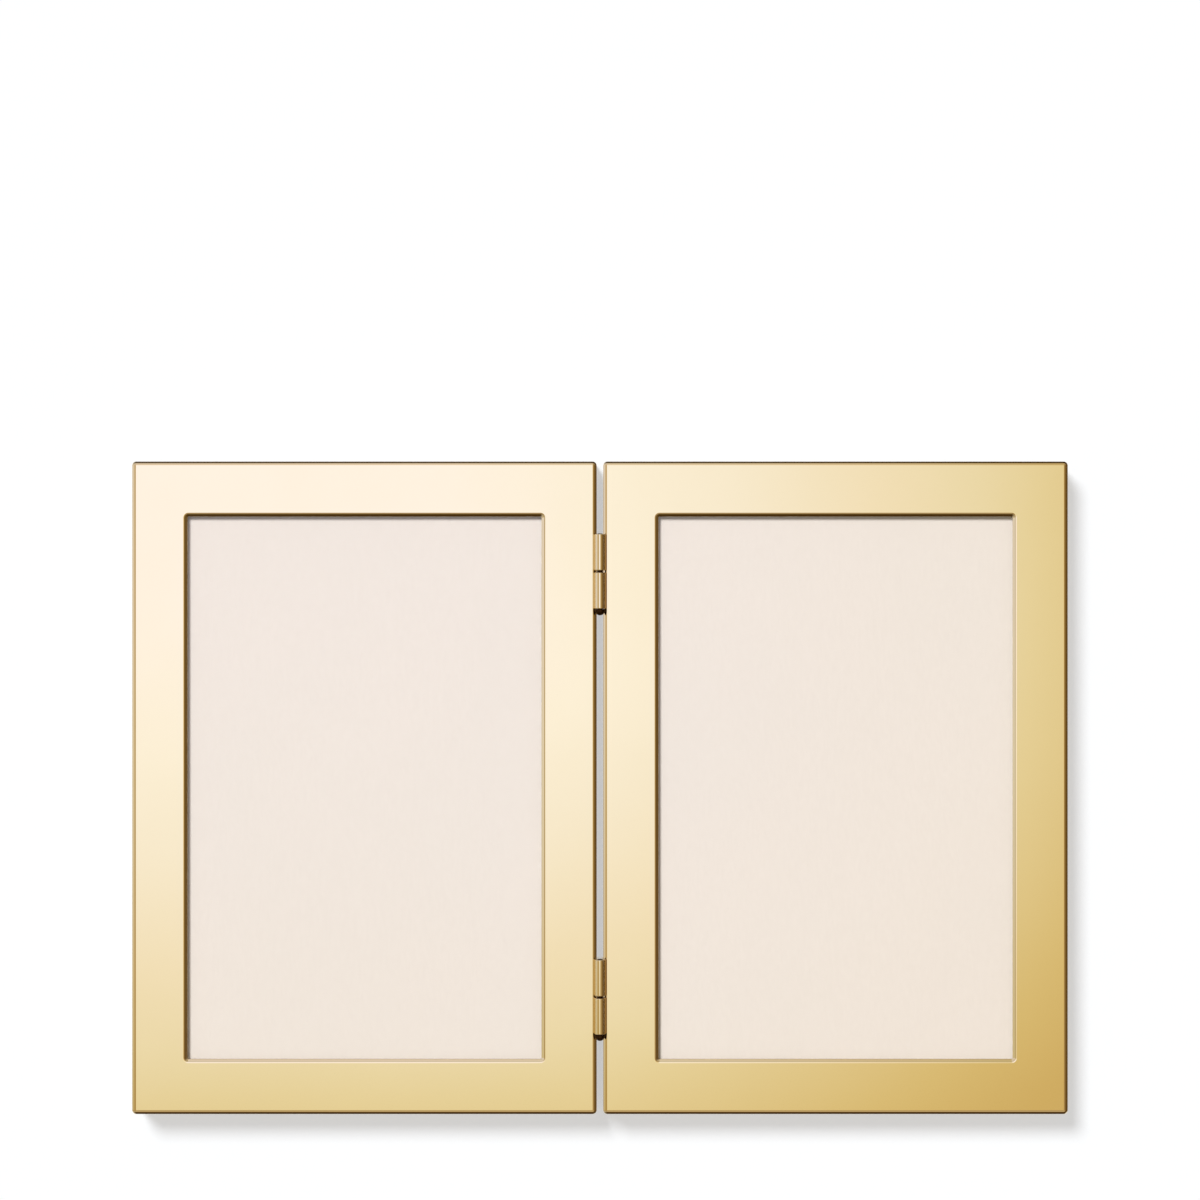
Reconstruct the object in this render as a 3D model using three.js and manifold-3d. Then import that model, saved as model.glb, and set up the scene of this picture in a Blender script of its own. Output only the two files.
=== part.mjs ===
// Double photo frame: two gold-plated brass leaves, each holding one 4 x 6 inch picture behind glass, joined
// by two small butt hinges, so that the pair opens flat and closes face to face like a book.
// Sizes are in millimetres. The frame lies open on its back: +Z is the way the pictures face and +Y is the
// top of the pictures. The origin is midway between the leaves, on the surface that the frame lies on.

import * as THREE from "three";
import { mergeVertices } from "three/addons/utils/BufferGeometryUtils.js";
import Module from "manifold-3d";

const wasm = await Module();
wasm.setup();

// Driving dimensions: the picture and the bezel around it
const PHOTO_WIDTH = 101.6;
const PHOTO_HEIGHT = 152.4;
const LIP = 3.0; // how far the bezel covers each edge of the picture
const BORDER = 14.9; // width of the front face, from the window to the outside of the leaf
const BEZEL_WALL = 1.6;
const FLANGE = 1.0; // thickness of the front face
const EDGE_RADIUS = 1.5; // roll of the front outer edge
const EDGE_SLOPE = (44 / 180) * Math.PI; // slope of that roll where it meets the side wall
const LIP_BEVEL = 1.08; // width of the bevel round the window, in plan
const LIP_DROP = 0.82; // depth of that bevel
const OUTER_CORNER = 1.1; // plan radius of the leaf's corners
const FLAT_CORNER = 0.1; // plan radius at a corner of the front face's flat
const WINDOW_CORNER = 0.3; // plan radius of the window's corners
const SKIRT_CORNER = 0.4; // plan radius inside the side walls

// Driving dimensions: what lies in the pocket, from the front to the back
const GLASS = 1.0;
const CARD = 0.4;
const FILLER = 3.1;
const PANEL = 2.5;
const LINING = 0.5;
const SEAT = 0.05; // gap between pieces that lie on each other
const POCKET_CLEARANCE = 0.4; // room round the picture in the pocket
const PANE_CLEARANCE = 0.2; // room round the glass and the back panel in the pocket
const RING_CLEARANCE = 0.15; // room between the backing ring and the side walls
const LINING_INSET = 0.3; // how far a lining stops short of the edge that it covers
const BOARD_CORNER = 0.5; // plan radius of the boards' and the glass's corners
const THUMB_NOTCH = 8.0; // radius of the half-round notch that lifts the back panel out
const RIM_STANDOFF = 1.05; // how far the side walls stand out behind the clip screws

// Driving dimensions: the turn clips and their screws
const CLIP = 0.8; // thickness of the clip's sheet
const CLIP_WIDTH = 6.4;
const CLIP_TIP_RADIUS = 2.4;
const CLIP_OVERLAP = 5.4; // how far a closed clip reaches over the back panel
const CLIP_INSET = 31.6; // from the pocket's end to the middle of the nearest clip
const CLIP_PLAY = 0.15; // gap on both faces of a clip, so that it turns
const CLIP_LIFT_RADIUS = 5.0; // bend of the tip away from the panel
const CLIP_LIFT_ANGLE = Math.PI / 7;
const CLIP_SCREW_RADIUS = 1.0;
const CLIP_SCREW_HEAD = 2.2; // radius of the round head
const CLIP_SCREW_HEIGHT = 1.1;
const CLIP_SCREW_BITE = 4.0; // length of thread in the backing ring
const CLIP_BORE_CLEARANCE = 0.2; // round the screw in the clip

// Driving dimensions: the hinges
const UPPER_HINGE_INSET = 29.7; // from the leaf's upper end to the middle of the upper hinge
const LOWER_HINGE_INSET = 31.8; // from the leaf's lower end to the middle of the lower hinge
const HINGE_LENGTH = 20.2;
const HINGE_PLATE = 0.7; // thickness of the sheet that is rolled into a knuckle
const HINGE_PLATE_GAP = 0.3; // between the two plates when the frame is open
const HINGE_PLATE_MARGIN = 2.6; // from the screws to the plate's back edge
const HINGE_PLATE_CORNER = 1.2;
const PIN_RADIUS = 0.75;
const PIN_CLEARANCE = 0.06; // round the pin in the knuckles
const PIN_HEAD_RADIUS = 1.45;
const PIN_HEAD_HEIGHT = 1.7;
const PIN_END = 0.2; // how far the pin's plain end stands out of the upper knuckle
const KNUCKLE_GAP = 0.5; // slit between the two knuckles
const KNUCKLE_CLEARANCE = 0.25; // between a knuckle and the other plate
const BARREL_CLEARANCE = 0.12; // between the barrel and the rolled edges of the leaves
const HINGE_SCREW_RADIUS = 0.7;
const HINGE_SCREW_HEAD = 1.3; // radius of the countersunk head
const HINGE_SCREW_INSET = 4.1; // from the plate's end to the middle of the nearest screw
const HINGE_SCREW_BITE = 3.2;
const SCREW_CLEARANCE = 0.1; // round a screw in the piece that it goes through
const SCREW_POINT = 0.8; // length of a screw's pointed end

// How finely the round stretches are cut
const CORNER_STEPS = 5;
const EDGE_STEPS = 5;
const BOARD_STEPS = 2;
const NOTCH_STEPS = 8;
const CLIP_STEPS = 5;
const ROLL_STEPS = 14;
const DOME_STEPS = 4;
const SCREW_SIDES = 12;
const CLIP_BORE_SIDES = 20;
const PIN_SIDES = 20;
const CUT_OVERRUN = 1; // how far a cutting shape runs past the face that it opens
const WELD = 1e-4; // vertices closer than this are one

// The leaf's outline and the levels of its layers, measured from the back rim
const LEAF_WIDTH = PHOTO_WIDTH - 2 * LIP + 2 * BORDER;
const LEAF_HEIGHT = PHOTO_HEIGHT - 2 * LIP + 2 * BORDER;
const CLIP_SCREW_LEVEL = RIM_STANDOFF;
const CLIP_LEVEL = CLIP_SCREW_LEVEL + CLIP_SCREW_HEIGHT + CLIP_PLAY;
const LINING_LEVEL = CLIP_LEVEL + CLIP + CLIP_PLAY;
const PANEL_LEVEL = LINING_LEVEL + LINING + SEAT;
const FILLER_LEVEL = PANEL_LEVEL + PANEL + SEAT;
const CARD_LEVEL = FILLER_LEVEL + FILLER + SEAT;
const GLASS_LEVEL = CARD_LEVEL + CARD + SEAT;
const FLANGE_LEVEL = GLASS_LEVEL + GLASS + SEAT;
const DEPTH = FLANGE_LEVEL + FLANGE;

// The pocket and the ring that makes it
const POCKET_WIDTH = PHOTO_WIDTH + 2 * POCKET_CLEARANCE;
const POCKET_HEIGHT = PHOTO_HEIGHT + 2 * POCKET_CLEARANCE;
const PANE_WIDTH = POCKET_WIDTH - 2 * PANE_CLEARANCE;
const PANE_HEIGHT = POCKET_HEIGHT - 2 * PANE_CLEARANCE;
const RING_WIDTH = LEAF_WIDTH - 2 * (BEZEL_WALL + RING_CLEARANCE);
const RING_HEIGHT = LEAF_HEIGHT - 2 * (BEZEL_WALL + RING_CLEARANCE);
const RING_THICKNESS = FLANGE_LEVEL - SEAT - PANEL_LEVEL;
const RING_BAND = (RING_WIDTH - POCKET_WIDTH) / 2;
const CLIP_PIVOT = POCKET_WIDTH / 2 + RING_BAND / 2;
const CLIP_SPACING = POCKET_HEIGHT - 2 * CLIP_INSET;

// The hinge: plates lie against the side walls, and the barrel clears the rolled front edges
const EDGE_WIDTH = EDGE_RADIUS * Math.sin(EDGE_SLOPE);
const PLATE_INSIDE = HINGE_PLATE_GAP / 2;
const PLATE_OUTSIDE = PLATE_INSIDE + HINGE_PLATE;
const LEAF_GAP = 2 * (PLATE_OUTSIDE + SEAT);
const BORE_RADIUS = PIN_RADIUS + PIN_CLEARANCE;
const BARREL_RADIUS = BORE_RADIUS + HINGE_PLATE;
const EDGE_REACH = BARREL_RADIUS + EDGE_RADIUS + BARREL_CLEARANCE;
const AXIS_RISE = Math.sqrt(EDGE_REACH ** 2 - (LEAF_GAP / 2 + EDGE_WIDTH) ** 2) - EDGE_RADIUS;
const AXIS_LEVEL = DEPTH + AXIS_RISE;
const KNUCKLE_LENGTH = (HINGE_LENGTH - KNUCKLE_GAP) / 2;
const HINGE_SCREW_LEVEL = PANEL_LEVEL + RING_THICKNESS / 2;
const HINGE_SCREW_SPACING = HINGE_LENGTH - 2 * HINGE_SCREW_INSET;
const UPPER_HINGE = LEAF_HEIGHT / 2 - UPPER_HINGE_INSET;
const LOWER_HINGE = LOWER_HINGE_INSET - LEAF_HEIGHT / 2;
const LEAF_CENTRE = (LEAF_GAP + LEAF_WIDTH) / 2;

// Finishes
const finish = (color, roughness, metalness) =>
  new THREE.MeshStandardMaterial({ color, roughness, metalness, flatShading: true });
const GOLD_PLATE = finish(0xe8d29a, 0.22, 1);
const CLEAR_GLASS = finish(0xeef4f0, 0.04, 0);
CLEAR_GLASS.transparent = true;
CLEAR_GLASS.opacity = 0.2;
const CREAM_CARD = finish(0xf2e4db, 0.85, 0);
const GREY_BOARD = finish(0x9c958a, 0.9, 0);
const BROWN_BOARD = finish(0x8a6a48, 0.85, 0);
const TAUPE_SUEDE = finish(0xb7a68f, 0.95, 0);
const BRASS = finish(0xcfa95a, 0.3, 1);
const DARK_BRONZE = finish(0x3a2518, 0.45, 1);

// A three.js geometry as a solid that can be joined and cut, and back again
function solid(geometry) {
  const bare = geometry.clone();
  bare.deleteAttribute("normal");
  bare.deleteAttribute("uv");
  const welded = mergeVertices(bare, WELD);
  return new wasm.Manifold(
    new wasm.Mesh({
      numProp: 3,
      vertProperties: welded.attributes.position.array,
      triVerts: Uint32Array.from(welded.index.array),
    }),
  );
}

function surface(body) {
  const mesh = body.getMesh();
  const geometry = new THREE.BufferGeometry();
  geometry.setAttribute("position", new THREE.BufferAttribute(mesh.vertProperties, 3));
  geometry.setIndex(new THREE.BufferAttribute(mesh.triVerts, 1));
  return geometry;
}

function cut(geometry, tools) {
  return surface(tools.reduce((body, tool) => body.subtract(solid(tool)), solid(geometry)));
}

// Outlines and simple bodies
function roundedRectangle(width, height, radius, path = new THREE.Shape()) {
  const x = width / 2 - radius;
  const y = height / 2 - radius;
  path.absarc(x, y, radius, 0, 0.5 * Math.PI);
  path.absarc(-x, y, radius, 0.5 * Math.PI, Math.PI);
  path.absarc(-x, -y, radius, Math.PI, 1.5 * Math.PI);
  path.absarc(x, -y, radius, 1.5 * Math.PI, 2 * Math.PI);
  path.closePath();
  return path;
}

function notchedRectangle(width, height, notch) {
  const x = width / 2;
  const y = height / 2;
  const shape = new THREE.Shape();
  shape.moveTo(-x, -y);
  shape.lineTo(-notch, -y);
  shape.absarc(0, -y, notch, Math.PI, 0, true);
  shape.lineTo(x, -y);
  shape.lineTo(x, y);
  shape.lineTo(-x, y);
  shape.closePath();
  return shape;
}

function slab(shape, thickness, curveSegments = BOARD_STEPS) {
  return new THREE.ExtrudeGeometry(shape, { depth: thickness, bevelEnabled: false, curveSegments });
}

function rod(radius, length, sides = SCREW_SIDES) {
  return new THREE.CylinderGeometry(radius, radius, length, sides);
}

// Points of a round head, from its crown on the axis to its rim
function dome(radius, height, base = 0) {
  const points = [];
  for (let i = 0; i <= DOME_STEPS; i++) {
    const turn = ((Math.PI / 2) * i) / DOME_STEPS;
    points.push(new THREE.Vector2(radius * Math.sin(turn), base + height * (1 - Math.cos(turn))));
  }
  return points;
}

// The bezel: one section carried round the leaf. A station of the section is a loop with its own inset
// from the leaf's outline, its own level and its own corner radius.
function stationLoop({ inset, level, corner }) {
  const x = LEAF_WIDTH / 2 - inset - corner;
  const y = LEAF_HEIGHT / 2 - inset - corner;
  const quarters = [
    [x, y],
    [-x, y],
    [-x, -y],
    [x, -y],
  ];
  return quarters.flatMap(([centreX, centreY], quarter) => {
    const points = [];
    for (let i = 0; i <= CORNER_STEPS; i++) {
      const turn = (Math.PI / 2) * (quarter + i / CORNER_STEPS);
      points.push(centreX + corner * Math.cos(turn), centreY + corner * Math.sin(turn), level);
    }
    return points;
  });
}

function sweptRing(stations) {
  const loops = stations.map(stationLoop);
  const count = loops[0].length / 3;
  const index = [];
  for (let i = 0; i < loops.length; i++) {
    const here = i * count;
    const next = ((i + 1) % loops.length) * count;
    for (let k = 0; k < count; k++) {
      const after = (k + 1) % count;
      index.push(here + k, here + after, next + after);
      index.push(here + k, next + after, next + k);
    }
  }
  const geometry = new THREE.BufferGeometry();
  geometry.setAttribute("position", new THREE.Float32BufferAttribute(loops.flat(), 3));
  geometry.setIndex(index);
  return geometry;
}

function bezelStations() {
  const stations = [{ inset: 0, level: 0, corner: OUTER_CORNER }];
  for (let i = EDGE_STEPS; i >= 0; i--) {
    const slope = (EDGE_SLOPE * i) / EDGE_STEPS;
    const inset = EDGE_WIDTH - EDGE_RADIUS * Math.sin(slope);
    const level = DEPTH - EDGE_RADIUS * (1 - Math.cos(slope));
    stations.push({ inset, level, corner: Math.max(OUTER_CORNER - inset, FLAT_CORNER) });
  }
  stations.push({ inset: BORDER - LIP_BEVEL, level: DEPTH, corner: WINDOW_CORNER + LIP_BEVEL });
  stations.push({ inset: BORDER, level: DEPTH - LIP_DROP, corner: WINDOW_CORNER });
  stations.push({ inset: BORDER, level: FLANGE_LEVEL, corner: WINDOW_CORNER });
  stations.push({ inset: BEZEL_WALL, level: FLANGE_LEVEL, corner: SKIRT_CORNER });
  stations.push({ inset: BEZEL_WALL, level: 0, corner: SKIRT_CORNER });
  return stations;
}

// Heights along the leaf at which the hinge screws enter its side wall
function hingeScrewHeights() {
  const heights = [];
  for (const hinge of [UPPER_HINGE, LOWER_HINGE]) {
    heights.push(hinge + HINGE_SCREW_SPACING / 2, hinge - HINGE_SCREW_SPACING / 2);
  }
  return heights;
}

// Round holes along X for the hinge screws, from the leaf's outside to the given depth
function hingeScrewHoles(hingeSide, depth) {
  const length = depth + CUT_OVERRUN;
  const x = hingeSide * (LEAF_WIDTH / 2 + CUT_OVERRUN - length / 2);
  return hingeScrewHeights().map((y) =>
    rod(HINGE_SCREW_RADIUS + SCREW_CLEARANCE, length)
      .rotateZ(Math.PI / 2)
      .translate(x, y, HINGE_SCREW_LEVEL),
  );
}

function bezel(hingeSide) {
  return cut(sweptRing(bezelStations()), hingeScrewHoles(hingeSide, BEZEL_WALL + CUT_OVERRUN / 2));
}

// Places of the four turn clips on a leaf: two on its outer side and two on its hinge side
function clipPlaces(hingeSide) {
  const places = [];
  for (const [side, sign] of [["outer", -hingeSide], ["hinge", hingeSide]]) {
    for (const [end, up] of [["upper", 1], ["lower", -1]]) {
      places.push({ name: `${side}_${end}`, side: sign, x: sign * CLIP_PIVOT, y: (up * CLIP_SPACING) / 2 });
    }
  }
  return places;
}

// A flat ring round the pocket, with a round hole at each clip
function pocketRing(width, height, pocketWidth, pocketHeight, thickness) {
  const shape = roundedRectangle(width, height, BOARD_CORNER);
  shape.holes.push(roundedRectangle(pocketWidth, pocketHeight, BOARD_CORNER, new THREE.Path()));
  return slab(shape, thickness);
}

function backingRing(hingeSide) {
  const reach = BEZEL_WALL + RING_CLEARANCE + HINGE_SCREW_BITE + SCREW_CLEARANCE;
  const hingeHoles = hingeScrewHoles(hingeSide, reach).map((hole) => hole.translate(0, 0, -PANEL_LEVEL));
  const clipHoles = clipPlaces(hingeSide).map(({ x, y }) => {
    const length = CLIP_SCREW_BITE + SCREW_CLEARANCE + CUT_OVERRUN;
    return rod(CLIP_SCREW_RADIUS + SCREW_CLEARANCE, length)
      .rotateX(Math.PI / 2)
      .translate(x, y, length / 2 - CUT_OVERRUN);
  });
  const ring = pocketRing(RING_WIDTH, RING_HEIGHT, POCKET_WIDTH, POCKET_HEIGHT, RING_THICKNESS);
  return cut(ring, [...hingeHoles, ...clipHoles]);
}

function ringLining(hingeSide) {
  const inset = 2 * LINING_INSET;
  const ring = pocketRing(
    RING_WIDTH - inset,
    RING_HEIGHT - inset,
    POCKET_WIDTH + inset,
    POCKET_HEIGHT + inset,
    LINING,
  );
  const holes = clipPlaces(hingeSide).map(({ x, y }) =>
    rod(CLIP_SCREW_RADIUS + CLIP_BORE_CLEARANCE, LINING + 2 * CUT_OVERRUN)
      .rotateX(Math.PI / 2)
      .translate(x, y, LINING / 2),
  );
  return cut(ring, holes);
}

const glass = () => slab(roundedRectangle(PANE_WIDTH, PANE_HEIGHT, BOARD_CORNER), GLASS);
const insertCard = () => slab(roundedRectangle(PHOTO_WIDTH, PHOTO_HEIGHT, BOARD_CORNER), CARD);
const fillerBoard = () => slab(roundedRectangle(PHOTO_WIDTH, PHOTO_HEIGHT, BOARD_CORNER), FILLER);
const backPanel = () => slab(notchedRectangle(PANE_WIDTH, PANE_HEIGHT, THUMB_NOTCH), PANEL, NOTCH_STEPS);

function panelLining() {
  const width = PANE_WIDTH - 2 * LINING_INSET;
  const height = PANE_HEIGHT - 2 * LINING_INSET;
  return slab(notchedRectangle(width, height, THUMB_NOTCH), LINING, NOTCH_STEPS);
}

// A turn clip, with its pivot at the origin and its tip towards +X. Its plan is a tapered tongue, and its
// side view is a flat strip whose tip bends back for a fingernail. Its front face is at the level of CLIP.
function turnClip() {
  const length = RING_BAND / 2 + CLIP_OVERLAP;
  const endRadius = CLIP_WIDTH / 2;
  const tip = length - CLIP_TIP_RADIUS;
  const tangent = Math.acos((endRadius - CLIP_TIP_RADIUS) / tip);
  const plan = new THREE.Shape();
  plan.absarc(0, 0, endRadius, tangent, 2 * Math.PI - tangent);
  plan.absarc(tip, 0, CLIP_TIP_RADIUS, -tangent, tangent);
  plan.closePath();

  const bend = length - CLIP_LIFT_RADIUS * Math.sin(CLIP_LIFT_ANGLE);
  const bendCentre = CLIP - CLIP_LIFT_RADIUS;
  const upright = Math.PI / 2;
  const leaning = upright - CLIP_LIFT_ANGLE;
  const strip = new THREE.Shape();
  strip.moveTo(-endRadius - CUT_OVERRUN, 0);
  strip.lineTo(-endRadius - CUT_OVERRUN, CLIP);
  strip.lineTo(bend, CLIP);
  strip.absarc(bend, bendCentre, CLIP_LIFT_RADIUS, upright, leaning, true);
  strip.absarc(bend, bendCentre, CLIP_LIFT_RADIUS - CLIP, leaning, upright, false);
  strip.closePath();

  const tall = CLIP_LIFT_RADIUS + CLIP;
  const tongue = slab(plan, tall, CLIP_STEPS).translate(0, 0, CLIP + CUT_OVERRUN - tall);
  const across = CLIP_WIDTH + 2 * CUT_OVERRUN;
  const bent = slab(strip, across, CLIP_STEPS).rotateX(Math.PI / 2).translate(0, across / 2, 0);
  const bore = rod(CLIP_SCREW_RADIUS + CLIP_BORE_CLEARANCE, CLIP + 2 * CUT_OVERRUN, CLIP_BORE_SIDES)
    .rotateX(Math.PI / 2)
    .translate(0, 0, CLIP / 2);
  return surface(solid(tongue).intersect(solid(bent)).subtract(solid(bore)));
}

// Screws point along +Y from the crown of the head at the origin
function clipScrew() {
  const neck = CLIP_SCREW_HEIGHT;
  const end = neck + PANEL_LEVEL - CLIP_LEVEL + CLIP_PLAY + CLIP_SCREW_BITE;
  const profile = [
    ...dome(CLIP_SCREW_HEAD, CLIP_SCREW_HEIGHT),
    new THREE.Vector2(CLIP_SCREW_RADIUS, neck),
    new THREE.Vector2(CLIP_SCREW_RADIUS, end - SCREW_POINT),
    new THREE.Vector2(0, end),
  ];
  return new THREE.LatheGeometry(profile, SCREW_SIDES);
}

function hingeScrew() {
  const neck = HINGE_SCREW_HEAD - HINGE_SCREW_RADIUS;
  const end = HINGE_PLATE + SEAT + BEZEL_WALL + RING_CLEARANCE + HINGE_SCREW_BITE;
  const profile = [
    new THREE.Vector2(0, 0),
    new THREE.Vector2(HINGE_SCREW_HEAD, 0),
    new THREE.Vector2(HINGE_SCREW_RADIUS, neck),
    new THREE.Vector2(HINGE_SCREW_RADIUS, end - SCREW_POINT),
    new THREE.Vector2(0, end),
  ];
  return new THREE.LatheGeometry(profile, SCREW_SIDES);
}

// The countersunk hole that a hinge screw sits in, along the same axis as the screw
function countersink() {
  const rim = HINGE_SCREW_HEAD + SCREW_CLEARANCE;
  const bore = HINGE_SCREW_RADIUS + SCREW_CLEARANCE;
  const profile = [
    new THREE.Vector2(0, -CUT_OVERRUN),
    new THREE.Vector2(rim, -CUT_OVERRUN),
    new THREE.Vector2(rim, 0),
    new THREE.Vector2(bore, rim - bore),
    new THREE.Vector2(bore, HINGE_PLATE + CUT_OVERRUN),
    new THREE.Vector2(0, HINGE_PLATE + CUT_OVERRUN),
  ];
  return new THREE.LatheGeometry(profile, SCREW_SIDES);
}

// Where a hinge's screws sit, seen from the hinge's axis
const HINGE_SCREW_DROP = HINGE_SCREW_LEVEL - AXIS_LEVEL;

// The left half of a hinge, with the hinge's axis along Y through the origin: a plate against the left
// leaf's side wall, whose sheet rises at the upper half of its length and rolls round the pin.
// The right half is the same piece turned half round.
function hingeHalf() {
  const top = -(BARREL_RADIUS + KNUCKLE_CLEARANCE);
  const bottom = HINGE_SCREW_DROP - HINGE_PLATE_MARGIN;
  const end = HINGE_LENGTH / 2;
  const corner = HINGE_PLATE_CORNER;
  const outline = new THREE.Shape();
  outline.moveTo(end, top);
  outline.lineTo(-end, top);
  outline.absarc(corner - end, bottom + corner, corner, Math.PI, 1.5 * Math.PI);
  outline.absarc(end - corner, bottom + corner, corner, 1.5 * Math.PI, 2 * Math.PI);
  outline.closePath();
  const lengthThenUp = new THREE.Matrix4().makeBasis(
    new THREE.Vector3(0, 1, 0),
    new THREE.Vector3(0, 0, 1),
    new THREE.Vector3(1, 0, 0),
  );
  const plate = slab(outline, HINGE_PLATE).applyMatrix4(lengthThenUp).translate(-PLATE_OUTSIDE, 0, 0);

  const rollStart = Math.PI + Math.acos(PLATE_OUTSIDE / BARREL_RADIUS);
  const boreStart = Math.PI + Math.acos(PLATE_INSIDE / BORE_RADIUS);
  const rollEnd = Math.PI - boreStart;
  const root = top - HINGE_PLATE;
  const roll = new THREE.Shape();
  roll.moveTo(-PLATE_INSIDE, root);
  roll.lineTo(-PLATE_OUTSIDE, root);
  roll.absarc(0, 0, BARREL_RADIUS, rollStart, rollEnd, true);
  roll.absarc(0, 0, BORE_RADIUS, rollEnd, boreStart, false);
  roll.closePath();
  const knuckle = slab(roll, KNUCKLE_LENGTH, ROLL_STEPS).rotateX(Math.PI / 2).translate(0, end, 0);

  const holes = [1, -1].map((along) =>
    countersink()
      .rotateZ(Math.PI / 2)
      .translate(-PLATE_INSIDE, (along * HINGE_SCREW_SPACING) / 2, HINGE_SCREW_DROP),
  );
  return cut(surface(solid(plate).add(solid(knuckle))), holes);
}

// The hinge's pin, with its domed head under the lower knuckle
function hingePin() {
  const headRim = -HINGE_LENGTH / 2 - SEAT;
  const tip = HINGE_LENGTH / 2 + PIN_END;
  const crown = dome(PIN_RADIUS, PIN_END).reverse();
  const profile = [
    ...dome(PIN_HEAD_RADIUS, PIN_HEAD_HEIGHT, headRim - PIN_HEAD_HEIGHT),
    new THREE.Vector2(PIN_RADIUS, headRim),
    ...crown.map(({ x, y }) => new THREE.Vector2(x, tip - y)),
  ];
  return new THREE.LatheGeometry(profile, PIN_SIDES);
}

// Assembly
function piece(name, geometry, material, x = 0, y = 0, z = 0) {
  const mesh = new THREE.Mesh(geometry, material.clone());
  mesh.name = name;
  mesh.position.set(x, y, z);
  return mesh;
}

// One leaf, centred on the origin with its back rim at z = 0. hingeSide is 1 where its hinges are at +X.
function leaf(name, hingeSide) {
  const group = new THREE.Group();
  group.add(
    piece(`${name}_bezel`, bezel(hingeSide), GOLD_PLATE),
    piece(`${name}_glass`, glass(), CLEAR_GLASS, 0, 0, GLASS_LEVEL),
    piece(`${name}_insert_card`, insertCard(), CREAM_CARD, 0, 0, CARD_LEVEL),
    piece(`${name}_filler_board`, fillerBoard(), GREY_BOARD, 0, 0, FILLER_LEVEL),
    piece(`${name}_back_panel`, backPanel(), BROWN_BOARD, 0, 0, PANEL_LEVEL),
    piece(`${name}_panel_lining`, panelLining(), TAUPE_SUEDE, 0, 0, LINING_LEVEL),
    piece(`${name}_backing_ring`, backingRing(hingeSide), BROWN_BOARD, 0, 0, PANEL_LEVEL),
    piece(`${name}_ring_lining`, ringLining(hingeSide), TAUPE_SUEDE, 0, 0, LINING_LEVEL),
  );
  for (const place of clipPlaces(hingeSide)) {
    const clip = piece(`${name}_clip_${place.name}`, turnClip(), BRASS, place.x, place.y, CLIP_LEVEL);
    clip.rotation.z = place.side > 0 ? Math.PI : 0;
    const screwName = `${name}_clip_screw_${place.name}`;
    const screw = piece(screwName, clipScrew(), BRASS, place.x, place.y, CLIP_SCREW_LEVEL);
    screw.rotation.x = Math.PI / 2;
    group.add(clip, screw);
  }
  return group;
}

// One hinge, centred on its own axis
function hinge(name) {
  const group = new THREE.Group();
  group.add(piece(`${name}_hinge_pin`, hingePin(), DARK_BRONZE));
  for (const [side, turned] of [["left", 1], ["right", -1]]) {
    const half = new THREE.Group();
    half.rotation.z = turned < 0 ? Math.PI : 0;
    half.add(piece(`${name}_hinge_${side}_plate`, hingeHalf(), GOLD_PLATE));
    for (const [end, up] of [["upper", 1], ["lower", -1]]) {
      const y = (turned * up * HINGE_SCREW_SPACING) / 2;
      const screwName = `${name}_hinge_${side}_screw_${end}`;
      const screw = piece(screwName, hingeScrew(), BRASS, -PLATE_INSIDE, y, HINGE_SCREW_DROP);
      screw.rotation.z = Math.PI / 2;
      half.add(screw);
    }
    group.add(half);
  }
  return group;
}

const doubleFrame = new THREE.Group();
doubleFrame.name = "double_photo_frame";

const leftLeaf = leaf("left", 1);
leftLeaf.position.x = -LEAF_CENTRE;
const rightLeaf = leaf("right", -1);
rightLeaf.position.x = LEAF_CENTRE;
const upperHinge = hinge("upper");
upperHinge.position.set(0, UPPER_HINGE, AXIS_LEVEL);
const lowerHinge = hinge("lower");
lowerHinge.position.set(0, LOWER_HINGE, AXIS_LEVEL);
doubleFrame.add(leftLeaf, rightLeaf, upperHinge, lowerHinge);

export default doubleFrame;
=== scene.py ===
import math

import bmesh
import bpy
from mathutils import Matrix, Vector


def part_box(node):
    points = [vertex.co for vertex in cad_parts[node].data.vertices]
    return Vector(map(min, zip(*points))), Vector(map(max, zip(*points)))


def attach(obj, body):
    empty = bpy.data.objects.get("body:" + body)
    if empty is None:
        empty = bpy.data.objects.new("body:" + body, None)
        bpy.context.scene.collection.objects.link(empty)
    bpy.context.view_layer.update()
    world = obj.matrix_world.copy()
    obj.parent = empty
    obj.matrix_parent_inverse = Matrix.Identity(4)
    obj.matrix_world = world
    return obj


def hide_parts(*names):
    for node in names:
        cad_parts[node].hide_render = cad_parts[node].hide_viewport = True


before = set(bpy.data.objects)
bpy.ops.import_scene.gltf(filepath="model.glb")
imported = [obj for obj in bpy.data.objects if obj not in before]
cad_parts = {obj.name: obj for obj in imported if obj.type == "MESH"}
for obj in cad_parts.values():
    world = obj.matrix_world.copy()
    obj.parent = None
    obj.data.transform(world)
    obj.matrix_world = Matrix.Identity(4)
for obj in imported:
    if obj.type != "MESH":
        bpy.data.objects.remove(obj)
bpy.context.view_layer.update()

# Bezels: the front of each leaf is one shell pressed from sheet brass, with a flat face round the window,
# a rolled outer edge, a bevelled lip and plain side walls round the boards behind it.
# It is buffed to a mirror and plated in pale gold.
MM = 0.001
SIDES = ("left", "right")
LIP_COVER = 3.0 * MM  # how far the window's lip covers the picture
SHELL_WALL = 1.6 * MM
SHELL_CORNER = 1.1 * MM
FLAT_CORNER = 0.05 * MM  # where the face's flat meets the roll at a corner
WINDOW_CORNER = 0.3 * MM
SKIRT_CORNER = 0.4 * MM
RIM_EASE = 0.25 * MM
SEAT = 0.05 * MM  # between pieces that lie on each other
CORNER_STEPS = 12
ARC_STEPS = 7
SHARP_ANGLE = math.radians(35)
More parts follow.
